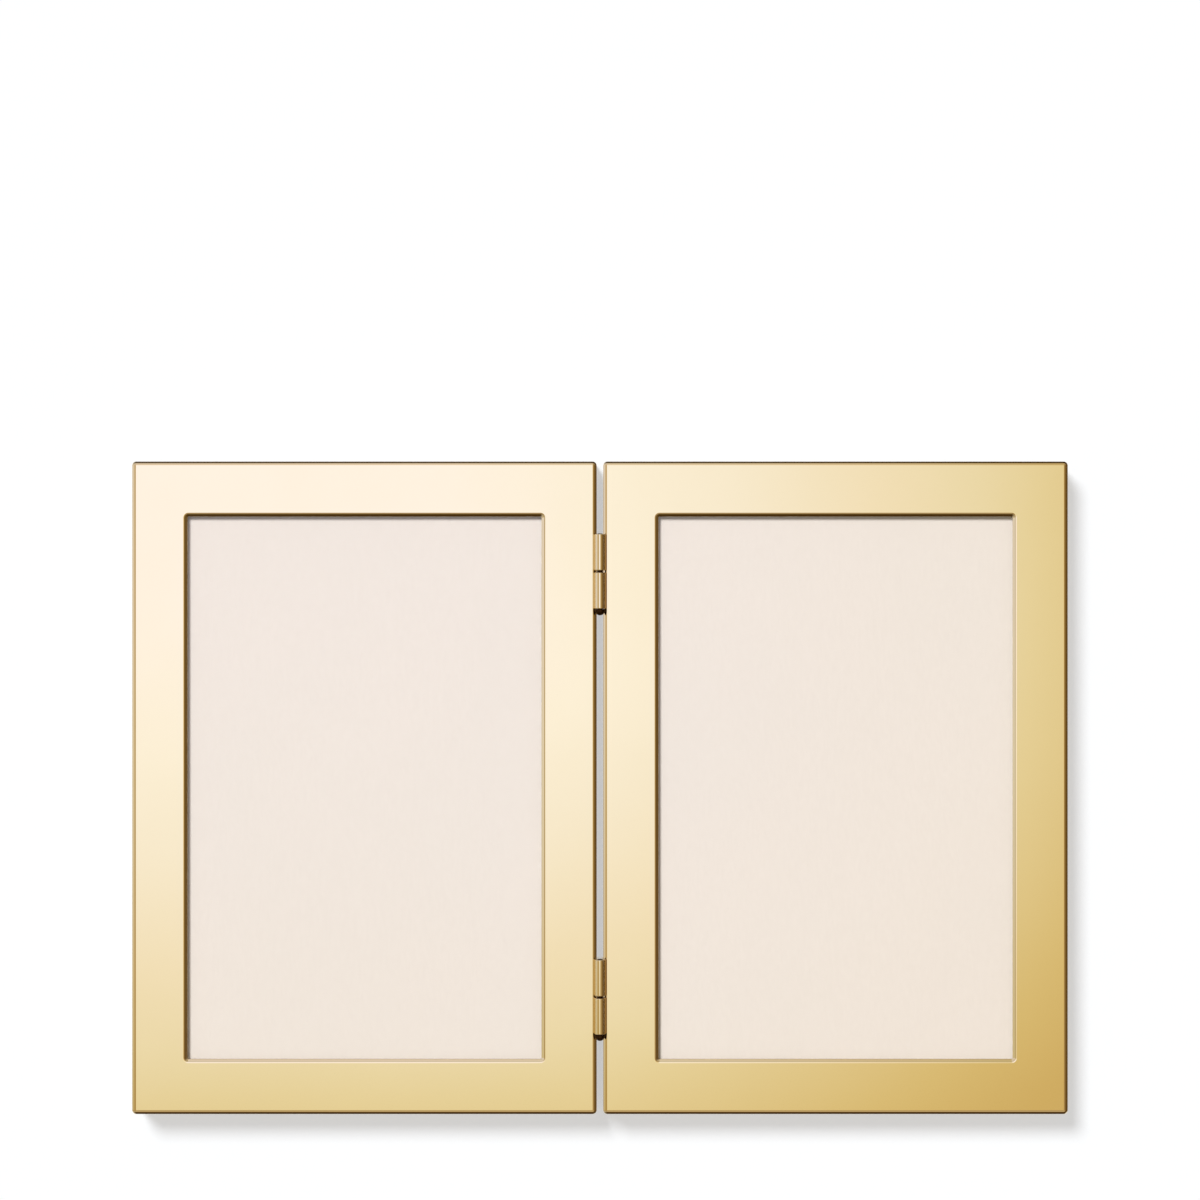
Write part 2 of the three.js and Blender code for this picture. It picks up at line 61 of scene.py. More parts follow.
# An edge turns from the flat face to the upright wall over these arcs: radius, and slope at its end
EDGE_ARCS = ((1.2 * MM, 38), (12 * MM, 40.3), (0.1 * MM, 90))
LIP_ARCS = ((0.5 * MM, 8), (3 * MM, 12), (0.25 * MM, 37), (16 * MM, 40), (0.12 * MM, 90))
EDGE_RUB = 0.6  # how far handling has rubbed an edge, from 0 to 1
LIP_RUB = 0.4


def turned_edge(arcs):
    """How far outward and downward an edge has turned, from the end of the flat face to the wall."""
    outward, downward, slope = 0.0, 0.0, 0.0
    points = [(outward, downward)]
    for radius, end in arcs:
        rise = math.radians(end) - slope
        for step in range(1, ARC_STEPS + 1):
            turn = slope + rise * step / ARC_STEPS
            x = outward + radius * (math.sin(turn) - math.sin(slope))
            z = downward + radius * (math.cos(slope) - math.cos(turn))
            points.append((x, z))
        outward, downward = points[-1]
        slope += rise
    return points


def rounded_rectangle(width, height, corner, steps=CORNER_STEPS):
    points = []
    for quarter, (right, up) in enumerate(((1, 1), (-1, 1), (-1, -1), (1, -1))):
        for step in range(steps + 1):
            turn = (quarter + step / steps) * math.pi / 2
            x = right * (width / 2 - corner) + corner * math.cos(turn)
            y = up * (height / 2 - corner) + corner * math.sin(turn)
            points.append((x, y))
    return points


def mesh_from(bm, name, material):
    """A smooth-shaded mesh whose edges stay crisp where its faces meet at a sharp angle."""
    bmesh.ops.recalc_face_normals(bm, faces=bm.faces)
    for face in bm.faces:
        face.smooth = True
    for edge in bm.edges:
        edge.smooth = edge.calc_face_angle(0.0) < SHARP_ANGLE
    mesh = bpy.data.meshes.new(name)
    bm.to_mesh(mesh)
    bm.free()
    mesh.materials.append(material)
    return mesh


def piece_of(mesh, name, place=Matrix()):
    """One piece at its place; pieces that are made alike share their mesh."""
    piece = bpy.data.objects.new(name, mesh)
    piece.matrix_world = place
    bpy.context.scene.collection.objects.link(piece)
    even = piece.modifiers.new("even_normals", "WEIGHTED_NORMAL")
    even.keep_sharp = True
    return piece


def piece_from(bm, name, material):
    return piece_of(mesh_from(bm, name, material), name)


def skin(loops, closed=True):
    """Quads between loops of points; the last loop joins the first, or the two ends close on a pole."""
    bm = bmesh.new()
    rings = [[bm.verts.new(point) for point in loop] for loop in loops]
    following = rings[1:] + rings[:1] if closed else rings[1:]
    for ring, after in zip(rings, following):
        for i, corner in enumerate(ring):
            j = (i + 1) % len(ring)
            bm.faces.new((corner, ring[j], after[j], after[i]))
    if not closed:
        for ring in (rings[0], rings[-1]):
            pole = bm.verts.new(sum((vert.co for vert in ring), Vector()) / len(ring))
            for i, corner in enumerate(ring):
                bm.faces.new((corner, ring[(i + 1) % len(ring)], pole))
    return bm


def fit(piece, body, slot, *nodes):
    """The piece moves with its body and stands for the CAD nodes; the slot is not used."""
    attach(piece, body)
    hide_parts(*nodes)
    return piece


def finish_of(name, sockets):
    """A new finish, with values that are the same all over set on the shader."""
    material = bpy.data.materials.new(name)
    material.use_nodes = True
    for socket, value in sockets.items():
        material.node_tree.nodes["Principled BSDF"].inputs[socket].default_value = value
    return material


def cloud(material, grain, stretch=(1, 1, 1), detail=3.0):
    """Noise in the piece's own space, in patches of about the grain's size."""
    tree = material.node_tree
    place = tree.nodes.new("ShaderNodeTexCoord")
    scale = tree.nodes.new("ShaderNodeMapping")
    scale.inputs["Scale"].default_value = [1 / (grain * along) for along in stretch]
    noise = tree.nodes.new("ShaderNodeTexNoise")
    noise.inputs["Scale"].default_value = 1.0
    noise.inputs["Detail"].default_value = detail
    tree.links.new(place.outputs["Object"], scale.inputs["Vector"])
    tree.links.new(scale.outputs["Vector"], noise.inputs["Vector"])
    return noise.outputs[0]


def mottle(material, socket, noise, low, high, spread=(0.35, 0.65)):
    """Lets a colour or a value wander between two limits as the noise does."""
    tree = material.node_tree
    if isinstance(low, tuple):
        limits = tree.nodes.new("ShaderNodeValToRGB")
        for element, position, colour in zip(limits.color_ramp.elements, spread, (low, high)):
            element.position = position
            element.color = (*colour, 1)
    else:
        limits = tree.nodes.new("ShaderNodeMapRange")
        for name, value in zip(("From Min", "From Max", "To Min", "To Max"), (*spread, low, high)):
            limits.inputs[name].default_value = value
    tree.links.new(noise, limits.inputs[0])
    tree.links.new(limits.outputs[0], tree.nodes["Principled BSDF"].inputs[socket])
    return limits.outputs[0]


def relief(material, noise, depth):
    """Raises the surface by up to the depth where the noise is high, over any relief it has already."""
    tree = material.node_tree
    normal = tree.nodes["Principled BSDF"].inputs["Normal"]
    bump = tree.nodes.new("ShaderNodeBump")
    bump.inputs["Distance"].default_value = depth
    tree.links.new(noise, bump.inputs["Height"])
    if normal.is_linked:
        tree.links.new(normal.links[0].from_socket, bump.inputs["Normal"])
    tree.links.new(bump.outputs["Normal"], normal)


def gold_plate():
    """Mirror-bright plating with faint wipe marks, a little deeper in colour where edges are rubbed."""
    gold = finish_of("pale_gold_plate", {"Metallic": 1.0})
    tree = gold.node_tree
    shader = tree.nodes["Principled BSDF"]
    colour = mottle(gold, "Base Color", cloud(gold, 25 * MM), (0.916, 0.783, 0.524), (0.924, 0.792, 0.536))
    rubbed = tree.nodes.new("ShaderNodeAttribute")
    rubbed.attribute_name = "rubbed"
    worn = tree.nodes.new("ShaderNodeMixRGB")
    worn.inputs["Color2"].default_value = (0.87, 0.69, 0.40, 1)
    tree.links.new(rubbed.outputs["Fac"], worn.inputs["Fac"])
    tree.links.new(colour, worn.inputs["Color1"])
    tree.links.new(worn.outputs["Color"], shader.inputs["Base Color"])
    mottle(gold, "Roughness", cloud(gold, 12 * MM, (1, 2.5, 1), 5.0), 0.03, 0.055)
    relief(gold, cloud(gold, 45 * MM, detail=0.0), 0.004 * MM)
    relief(gold, cloud(gold, 0.6 * MM, detail=1.0), 0.0002 * MM)
    return gold


def shell_stations(depth, border, flange_back):
    """Inset from the outline, level, corner radius and rub of each loop round the shell's section."""
    edge, lip = turned_edge(EDGE_ARCS), turned_edge(LIP_ARCS)
    edge_width, lip_width = edge[-1][0], lip[-1][0]
    stations = [(RIM_EASE, 0, SHELL_CORNER - RIM_EASE, 0), (0, RIM_EASE, SHELL_CORNER, 0)]
    for index, (outward, downward) in reversed(list(enumerate(edge))):
        inset = edge_width - outward
        rub = EDGE_RUB if index else 0
        stations.append((inset, depth - downward, max(SHELL_CORNER - inset, FLAT_CORNER), rub))
    for index, (outward, downward) in enumerate(lip):
        inset = border - lip_width + outward
        rub = LIP_RUB if index else 0
        stations.append((inset, depth - downward, WINDOW_CORNER + border - inset, rub))
    stations.append((border, flange_back, WINDOW_CORNER, 0))
    stations.append((SHELL_WALL, flange_back, SKIRT_CORNER, 0))
    stations.append((SHELL_WALL, RIM_EASE, SKIRT_CORNER, 0))
    stations.append((SHELL_WALL - RIM_EASE, 0, SKIRT_CORNER + RIM_EASE, 0))
    return stations


def middle(node):
    """The middle of a CAD node's box."""
    low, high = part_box(node)
    return (low + high) / 2


bezel_low, bezel_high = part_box("left_bezel")
leaf_size = bezel_high - bezel_low
card_low, card_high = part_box("left_insert_card")
leaf_border = (leaf_size.x - (card_high.x - card_low.x)) / 2 + LIP_COVER
flange_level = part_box("left_glass")[1].z + SEAT
gold = gold_plate()

for side in SIDES:
    stations = shell_stations(bezel_high.z, leaf_border, flange_level)
    loops = []
    for inset, level, corner, _ in stations:
        outline = rounded_rectangle(leaf_size.x - 2 * inset, leaf_size.y - 2 * inset, corner)
        loops.append([(middle(f"{side}_bezel").x + x, y, level) for x, y in outline])
    bezel = piece_from(skin(loops), f"{side}_bezel_shell", gold)
    rubbed = bezel.data.attributes.new("rubbed", "FLOAT", "POINT")
    rubbed.data.foreach_set("value", [rub for *_, rub in stations for _ in loops[0]])
    fit(bezel, f"{side}_leaf", "gold_plate", f"{side}_bezel")

# Glass: one pane of clear float glass lies loose against the back of each bezel's flange.
# Its edges are ground a little round, and its faces carry the faintest wipe marks.
BOARD_CORNER = 0.5 * MM
GROUND_EDGE = 0.3 * MM
EASE_STEPS = 3
NOTCH_STEPS = 32


def slab(bm, outline, low, high, ease):
    """Adds a flat board over an anticlockwise outline, with its edges eased to a quarter round."""
    corners = [Vector(point) for point in outline]
    ways = [(after - here).normalized() for here, after in zip(corners, corners[1:] + corners[:1])]
    inward = []
    for into, out in zip(ways[-1:] + ways[:-1], ways):
        inward.append(Vector((-into.y - out.y, into.x + out.x)) / (1 + into.dot(out)))
    turns = [math.pi / 2 * step / EASE_STEPS for step in range(EASE_STEPS + 1)]
    rounding = [(ease * (1 - math.sin(turn)), ease * (1 - math.cos(turn))) for turn in turns]
    section = [(inset, low + rise) for inset, rise in rounding]
    section += [(inset, high - rise) for inset, rise in reversed(rounding)]
    rings = []
    for inset, level in section:
        moved = [corner + inset * way for corner, way in zip(corners, inward)]
        rings.append([bm.verts.new((*point, level)) for point in moved])
    bm.faces.new(rings[0][::-1])
    bm.faces.new(rings[-1])
    for ring, after in zip(rings, rings[1:]):
        for i, corner in enumerate(ring):
            j = (i + 1) % len(ring)
            bm.faces.new((corner, ring[j], after[j], after[i]))
    return bm


def board_like(node, name, material, ease, notch=0.0):
    """A flat board as large as a CAD node, with a half-round notch in its lower edge where it has one."""
    low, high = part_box(node)
    width, height = high.x - low.x, high.y - low.y
    outline = rounded_rectangle(width, height, BOARD_CORNER)
    if notch:
        before_right_end = 3 * (CORNER_STEPS + 1)
        turns = [math.pi * (1 - step / NOTCH_STEPS) for step in range(NOTCH_STEPS + 1)]
        bite = [(notch * math.cos(turn), notch * math.sin(turn) - height / 2) for turn in turns]
        outline[before_right_end:before_right_end] = bite
    shift = middle(node)
    placed = [(x + shift.x, y + shift.y) for x, y in outline]
    return piece_from(slab(bmesh.new(), placed, low.z, high.z, ease), name, material)


clear = {"Transmission Weight": 1.0, "IOR": 1.45, "Specular IOR Level": 0.2}
clear_glass = finish_of("clear_float_glass", clear)
tint = cloud(clear_glass, 60 * MM)
mottle(clear_glass, "Base Color", tint, (0.965, 0.985, 0.975), (0.975, 0.99, 0.98))
mottle(clear_glass, "Roughness", cloud(clear_glass, 15 * MM, (3, 1, 1), 5.0), 0.0, 0.025)

for side in SIDES:
    glass = board_like(f"{side}_glass", f"{side}_glass_pane", clear_glass, GROUND_EDGE)
    glass.visible_shadow = False  # the lamp's light goes through to the card
    glass.visible_diffuse = False
    fit(glass, f"{side}_leaf", "clear_glass", f"{side}_glass")

# Insert cards: a smooth cream card lies behind each glass in the place of a picture.
# The card is cut with a knife, so its edges are crisp, and its face shows a very fine fibre.
CUT_EDGE = 0.04 * MM

cream_card = finish_of("cream_card", {"Specular IOR Level": 0.3})
fibre = cloud(cream_card, 0.6 * MM, (1, 3, 1), 5.0)
mottle(cream_card, "Base Color", fibre, (0.9, 0.787, 0.708), (0.92, 0.807, 0.728))
mottle(cream_card, "Roughness", cloud(cream_card, 2 * MM), 0.78, 0.88)
relief(cream_card, cloud(cream_card, 0.25 * MM, (1, 3, 1)), 0.002 * MM)

for side in SIDES:
    card = board_like(f"{side}_insert_card", f"{side}_insert_card_sheet", cream_card, CUT_EDGE)
    fit(card, f"{side}_leaf", "cream_card", f"{side}_insert_card")

# Filler boards: raw grey board, cut to the picture's size, presses the picture against the glass.
# Its pulp is flecked, and its cut edges are soft.
SAWN_EDGE = 0.2 * MM

grey_board = finish_of("flecked_grey_board", {"Specular IOR Level": 0.2})
flecks = cloud(grey_board, 0.9 * MM, detail=5.0)
mottle(grey_board, "Base Color", flecks, (0.25, 0.225, 0.19), (0.41, 0.375, 0.33))
mottle(grey_board, "Roughness", cloud(grey_board, 3 * MM), 0.85, 0.95)
relief(grey_board, cloud(grey_board, 0.35 * MM), 0.02 * MM)

for side in SIDES:
    filler = board_like(f"{side}_filler_board", f"{side}_filler_board_sheet", grey_board, SAWN_EDGE)
    fit(filler, f"{side}_leaf", "grey_board", f"{side}_filler_board")

# Backing rings and back panels: raw brown hardboard. The ring is glued into the shell round the pocket,
# and the panel closes the pocket, with a half-round notch for the thumb that lifts it out.
THUMB_NOTCH = 8.0 * MM
POCKET_GAP = 0.2 * MM  # between the back panel's edge and the ring

hardboard = finish_of("raw_hardboard", {"Specular IOR Level": 0.3})
chips = cloud(hardboard, 2.2 * MM, detail=6.0)
mottle(hardboard, "Base Color", chips, (0.19, 0.105, 0.045), (0.31, 0.185, 0.088))
mottle(hardboard, "Roughness", cloud(hardboard, 1.5 * MM), 0.7, 0.88)
relief(hardboard, cloud(hardboard, 0.5 * MM, detail=4.0), 0.03 * MM)


def band_loops(node, band, ease):
    """Loops round a flat ring as large as a CAD node, with its edges eased."""
    low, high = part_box(node)
    shift = middle(node)
    section = [(ease, low.z), (0, low.z + ease), (0, high.z - ease), (ease, high.z)]
    section += [(band - inset, level) for inset, level in reversed(section)]
    loops = []
    for inset, level in section:
        corner = BOARD_CORNER + (0 if inset > band / 2 else -inset)
        outline = rounded_rectangle(high.x - low.x - 2 * inset, high.y - low.y - 2 * inset, corner)
        loops.append([(x + shift.x, y + shift.y, level) for x, y in outline])
    return loops


pocket_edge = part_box("left_back_panel")[0].x - POCKET_GAP
ring_band = pocket_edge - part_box("left_backing_ring")[0].x

for side in SIDES:
    loops = band_loops(f"{side}_backing_ring", ring_band, SAWN_EDGE)
    ring = piece_from(skin(loops), f"{side}_backing_ring_board", hardboard)
    fit(ring, f"{side}_leaf", "brown_board", f"{side}_backing_ring")
    panel = board_like(f"{side}_back_panel", f"{side}_back_panel_board", hardboard, SAWN_EDGE, THUMB_NOTCH)
    fit(panel, f"{side}_leaf", "brown_board", f"{side}_back_panel")

# Linings: short-napped taupe suede cloth is glued over the back. The panel takes one notched sheet,
# and the ring takes strips that are mitred at its corners and trimmed short of its edges.
LINING_INSET = 0.3 * MM
LINING_EASE = 0.14 * MM
MITRE_GAP = 0.03 * MM

napped = {"Sheen Weight": 0.35, "Sheen Roughness": 0.45, "Specular IOR Level": 0.1}
suede = finish_of("taupe_suede", napped)
strokes = cloud(suede, 16 * MM, (1, 1.6, 1), 8.0)
mottle(suede, "Base Color", strokes, (0.268, 0.202, 0.137), (0.335, 0.258, 0.178))
mottle(suede, "Roughness", cloud(suede, 4 * MM), 0.88, 0.98)
relief(suede, cloud(suede, 1.4 * MM, detail=2.0), 0.05 * MM)
relief(suede, cloud(suede, 0.22 * MM, detail=3.0), 0.05 * MM)


def mitred_strips(node, band):
    """Outlines of the four strips round a ring, each cut off at 45 degrees at its ends."""
    low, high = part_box(node)
    x, y = (high.x - low.x) / 2, (high.y - low.y) / 2
    across = [(band - x, y - band), (x - band, y - band), (x, y), (-x, y)]
    along = [(band - x, band - y), (band - x, y - band), (-x, y), (-x, -y)]
    gap_x, gap_y = Vector((MITRE_GAP, 0)), Vector((0, MITRE_GAP))
    shift = middle(node).xy
    strips = []
    for outline, apart in ((across, gap_y), (along, -gap_x)):
        for turn in (1, -1):
            strips.append([turn * (Vector(point) + apart) + shift for point in outline])
    return strips


for side in SIDES:
    node = f"{side}_panel_lining"
    low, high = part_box(node)
    cloth = board_like(node, f"{side}_panel_lining_cloth", suede, LINING_EASE, THUMB_NOTCH)
    fit(cloth, f"{side}_leaf", "suede_lining", node)

    node = f"{side}_ring_lining"
    low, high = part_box(node)
    lining_band = ring_band - 2 * LINING_INSET
    strips = bmesh.new()
    for outline in mitred_strips(node, lining_band):
        slab(strips, outline, low.z, high.z, LINING_EASE)
    cloth = piece_from(strips, f"{side}_ring_lining_cloth", suede)
    fit(cloth, f"{side}_leaf", "suede_lining", node)

# Turn clips: four tongues of brass sheet on each leaf hold the back panel in, and swing aside on their
# screws. Each is stamped with a bore, and its tip is bent up so that a fingernail can catch it.
CLIP_SHEET = 0.8 * MM
CLIP_BORE = 1.2 * MM
CLIP_TIP = 2.4 * MM
CLIP_BEND = 5.0 * MM
CLIP_BEND_ANGLE = math.pi / 7
CLIP_EASE = 0.16 * MM
CLIP_ARC_STEPS = 14
CLIP_FLANK_STEPS = 8
CLIP_FACE_CUTS = (0.2, 0.4, 0.55, 0.68, 0.76, 0.82, 0.88, 0.94)  # closer towards the bent tip
CLIP_PLACES = [f"{way}_{end}" for way in ("outer", "hinge") for end in ("upper", "lower")]

brass = finish_of("lacquered_brass", {"Metallic": 1.0, "Coat Weight": 0.25, "Coat Roughness": 0.2})
mottle(brass, "Base Color", cloud(brass, 3 * MM, detail=6.0), (0.60, 0.39, 0.13), (0.76, 0.54, 0.23))
mottle(brass, "Roughness", cloud(brass, 1.2 * MM, (6, 1, 1), 5.0), 0.22, 0.38)
relief(brass, cloud(brass, 0.3 * MM, (10, 1, 1)), 0.003 * MM)


def tongue_outline(length, end_radius):
    """A tapered tongue round its pivot, anticlockwise, with its tip towards +X."""
    tip = length - CLIP_TIP
    tangent = math.acos((end_radius - CLIP_TIP) / tip)
    points = []
    for centre, radius, first, last in (
        (0.0, end_radius, tangent, 2 * math.pi - tangent),
        (tip, CLIP_TIP, -tangent, tangent),
    ):
        for step in range(CLIP_ARC_STEPS + 1):
            turn = first + (last - first) * step / CLIP_ARC_STEPS
            points.append(Vector((centre + radius * math.cos(turn), radius * math.sin(turn))))
    flanked = []
    for point, after in zip(points, points[1:] + points[:1]):
        steps = CLIP_FLANK_STEPS if (after - point).length > tip / 2 else 1
        flanked += [point.lerp(after, step / steps) for step in range(steps)]
    return flanked


def clip_loops(length, end_radius):
    """Loops round the clip's sheet, from the bore over the front face, round the edge and back behind."""
    outline = tongue_outline(length, end_radius)
    bend = length - CLIP_BEND * math.sin(CLIP_BEND_ANGLE)
    quarter = [math.pi / 2 * step / EASE_STEPS for step in range(EASE_STEPS + 1)]
    rounding = [(CLIP_EASE * (1 - math.sin(turn)), CLIP_EASE * (1 - math.cos(turn))) for turn in quarter]
    over = [(0.0, inset, depth) for inset, depth in reversed(rounding)]
    over += [(share, CLIP_EASE, 0.0) for share in CLIP_FACE_CUTS]
    over += [(1.0, inset, depth) for inset, depth in rounding]
    section = over + [(share, inset, CLIP_SHEET - depth) for share, inset, depth in reversed(over)]
    loops = []
    for share, inset, depth in section:
        loop = []
        for point in outline:
            way = point.normalized()
            reach = CLIP_BORE + inset + share * (point.length - CLIP_BORE - 2 * inset)
            x, y = way * reach
            past = max(0.0, x - bend)
            lift = CLIP_BEND - math.sqrt((CLIP_BEND - depth) ** 2 - past ** 2)
            loop.append((x, y, -lift))
        loops.append(loop)
    return loops


clip_low, clip_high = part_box("left_clip_outer_upper")
clip_end = (clip_high.y - clip_low.y) / 2
tongue = mesh_from(skin(clip_loops(clip_high.x - clip_low.x - clip_end, clip_end)), "clip_tongue", brass)

for side in SIDES:
    for place in CLIP_PLACES:
        node = f"{side}_clip_{place}"
        low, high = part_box(node)
        inward = middle(node).x < middle(f"{side}_bezel").x
        pivot_x = low.x + clip_end if inward else high.x - clip_end
        turned = Matrix.Rotation(0 if inward else math.pi, 4, "Z")
        spot = Matrix.Translation((pivot_x, middle(node).y, high.z))
        fit(piece_of(tongue, f"{node}_tongue", spot @ turned), node, "plain_brass", node)

# Clip screws: round-headed brass wood screws with a cut slot, each left just loose enough for its clip to
# turn. The thread is rolled on the lower shank and bites in the backing ring.
CLIP_SCREW_HEAD = 2.2 * MM
CLIP_SCREW_CROWN = 1.1 * MM
CLIP_SCREW_NECK = 2.8 * MM  # from the crown to where the thread starts
CLIP_SCREW_SHANK = 1.0 * MM
SCREW_POINT = 0.8 * MM
SCREW_SIDES = 28
THREAD_DEPTH = 0.25 * MM
THREAD_PITCH = 0.8 * MM
RINGS_PER_PITCH = 8
SLOT_WIDTH = 0.55 * MM
SLOT_DEPTH = 0.5 * MM
WELD = 0.001 * MM  # corners closer than this are one
SAW_REACH = 3  # the saw's length, in radii of the head
CROWN_FLAT = 0.15  # of a step, at the middle of a dome
# Each slot stays where its screw came to a stop: turns in degrees
FIRST_STOP, NEXT_STOP, RIGHT_LEAF_STOP = 25, 67, 40


def ring_at(level, radius):
    """Points round the screw's axis; the radius may change with the turn."""
    points = []
    for step in range(SCREW_SIDES):
        turn = 2 * math.pi * step / SCREW_SIDES
        here = radius(turn) if callable(radius) else radius
        points.append((here * math.cos(turn), here * math.sin(turn), level))
    return points


def screw_loops(head, neck, shank, length):
    """Loops down a screw: the head's profile, a plain neck, the thread and the point."""
    loops = [ring_at(level, radius) for radius, level in head]
    if head[-1][0] > shank:
        loops.append(ring_at(head[-1][1], shank))
    rings = round((length - neck) / THREAD_PITCH * RINGS_PER_PITCH)
    for ring in range(rings):
        level = neck + (length - neck) * ring / rings
        narrowing = min(1.0, (length - level) / SCREW_POINT)

        def flank(turn):
            phase = (level / THREAD_PITCH - turn / (2 * math.pi)) % 1
            ridge = 1 - abs(2 * phase - 1)
            return narrowing * (shank - THREAD_DEPTH * (1 - ridge))

        loops.append(ring_at(level, flank))
    return loops


def loose(bm, name):
    """A plain object for cutting with."""
    bmesh.ops.recalc_face_normals(bm, faces=bm.faces)
    mesh = bpy.data.meshes.new(name)
    bm.to_mesh(mesh)
    bm.free()
    solid = bpy.data.objects.new(name, mesh)
    bpy.context.scene.collection.objects.link(solid)
    return solid


def carved(body, tools):
    """What is left of a solid when the tools are cut out of it."""
    blank = loose(body, "blank")
    cutters = [loose(tool, "cutter") for tool in tools]
    for cutter in cutters:
        cut = blank.modifiers.new("cut", "BOOLEAN")
        cut.object = cutter
    left = bmesh.new()
    left.from_mesh(blank.evaluated_get(bpy.context.evaluated_depsgraph_get()).data)
    bmesh.ops.remove_doubles(left, verts=left.verts, dist=WELD)
    for solid in (blank, *cutters):
        bpy.data.meshes.remove(solid.data)
    return left


def slot_tool(width, depth, length):
    """The saw's cut across a screw's crown."""
    tool = bmesh.new()
    bmesh.ops.create_cube(tool, size=1, matrix=Matrix.Diagonal((length, width, 2 * depth, 1)))
    return tool


def dome(radius, height, steps):
    """Radius and level from a round head's crown to its rim."""
    turns = [math.pi / 2 * (step + CROWN_FLAT) / (steps + CROWN_FLAT) for step in range(steps + 1)]
    return [(radius * math.sin(turn), height * (1 - math.cos(turn))) for turn in turns]


screw_low, screw_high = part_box("left_clip_screw_outer_upper")
head = dome(CLIP_SCREW_HEAD, CLIP_SCREW_CROWN, 10)
loops = screw_loops(head, CLIP_SCREW_NECK, CLIP_SCREW_SHANK, screw_high.z - screw_low.z)
saw_cut = slot_tool(SLOT_WIDTH, SLOT_DEPTH, SAW_REACH * CLIP_SCREW_HEAD)
clip_screw = mesh_from(carved(skin(loops, closed=False), [saw_cut]), "clip_screw", brass)

for side in SIDES:
    for order, place in enumerate(CLIP_PLACES):
        node = f"{side}_clip_screw_{place}"
        stop = FIRST_STOP + NEXT_STOP * order + (RIGHT_LEAF_STOP if side == "right" else 0)
        spun = Matrix.Rotation(math.radians(stop), 4, "Z")
        spot = Matrix.Translation((*middle(node).xy, screw_low.z)) @ spun
        fit(piece_of(clip_screw, f"{node}_slotted", spot), f"{side}_leaf", "plain_brass", node)

# Hinge plates: each half of a butt hinge is one blank of brass sheet, rolled at its tab into a knuckle.
# The plate is screwed to the leaf's side wall through two countersunk holes, and plated like the bezel.
HINGES = ("upper", "lower")
HINGE_SHEET = 0.7 * MM
HINGE_CORNER = 1.2 * MM
HINGE_EASE = 0.28 * MM
KNUCKLE_GAP = 0.5 * MM
TAB_ROOT = 0.35 * MM  # of straight plate above the shoulder that the tab rises from
SWAY_RADIUS = 0.6 * MM  # of the small bend outward before the roll
ROLL_END = math.radians(-79)
ROLL_CUTS = 48
HINGE_SCREW_SPREAD = 12 * MM
HINGE_SCREW_HEAD = 1.3 * MM
HINGE_SCREW_SHANK = 0.7 * MM
COUNTERSINK_SPARE = 0.06 * MM

plate_low, plate_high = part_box("upper_hinge_left_plate")
barrel_radius = plate_high.x
axis_level = plate_high.z - barrel_radius
hinge_length = plate_high.y - plate_low.y
sheet_middle = barrel_radius - HINGE_SHEET / 2
plate_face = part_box("upper_hinge_left_screw_upper")[1].x
plate_middle = plate_face - HINGE_SHEET / 2
screw_level = middle("upper_hinge_left_screw_upper").z - axis_level


def hinge_path():
    """The plate's section as stretches of length and turn, from its lower edge up and round the pin."""
    sway_rise = math.sqrt((sheet_middle + SWAY_RADIUS) ** 2 - (SWAY_RADIUS - plate_middle) ** 2)
    sway_turn = math.atan2(sway_rise, SWAY_RADIUS - plate_middle)
    straight = axis_level - plate_low.z - sway_rise
    roll = math.pi + sway_turn - ROLL_END
    return [(straight, 0.0), (SWAY_RADIUS * sway_turn, sway_turn), (sheet_middle * roll, -roll)]


def bent(path, along, aside):
    """Where a point of the flat blank comes to lie: its place along the path and its distance aside."""
    x, z, heading = plate_middle, plate_low.z - axis_level, math.pi / 2
    for length, turn in path:
        step = min(along, length)
        along -= step
        swing = turn * step / length
        if turn:
            radius = length / turn
            x += radius * (math.sin(heading + swing) - math.sin(heading))
            z += radius * (math.cos(heading) - math.cos(heading + swing))
            heading += swing
        else:
            z += step
    return x + aside * math.sin(heading), z - aside * math.cos(heading)


def rounded_corner(x, y, radius, first):
    """A quarter round at a corner, from the angle first, anticlockwise."""
    turns = [first + math.pi / 2 * step / CORNER_STEPS for step in range(CORNER_STEPS + 1)]
    return [(x + radius * math.cos(turn), y + radius * math.sin(turn)) for turn in turns]


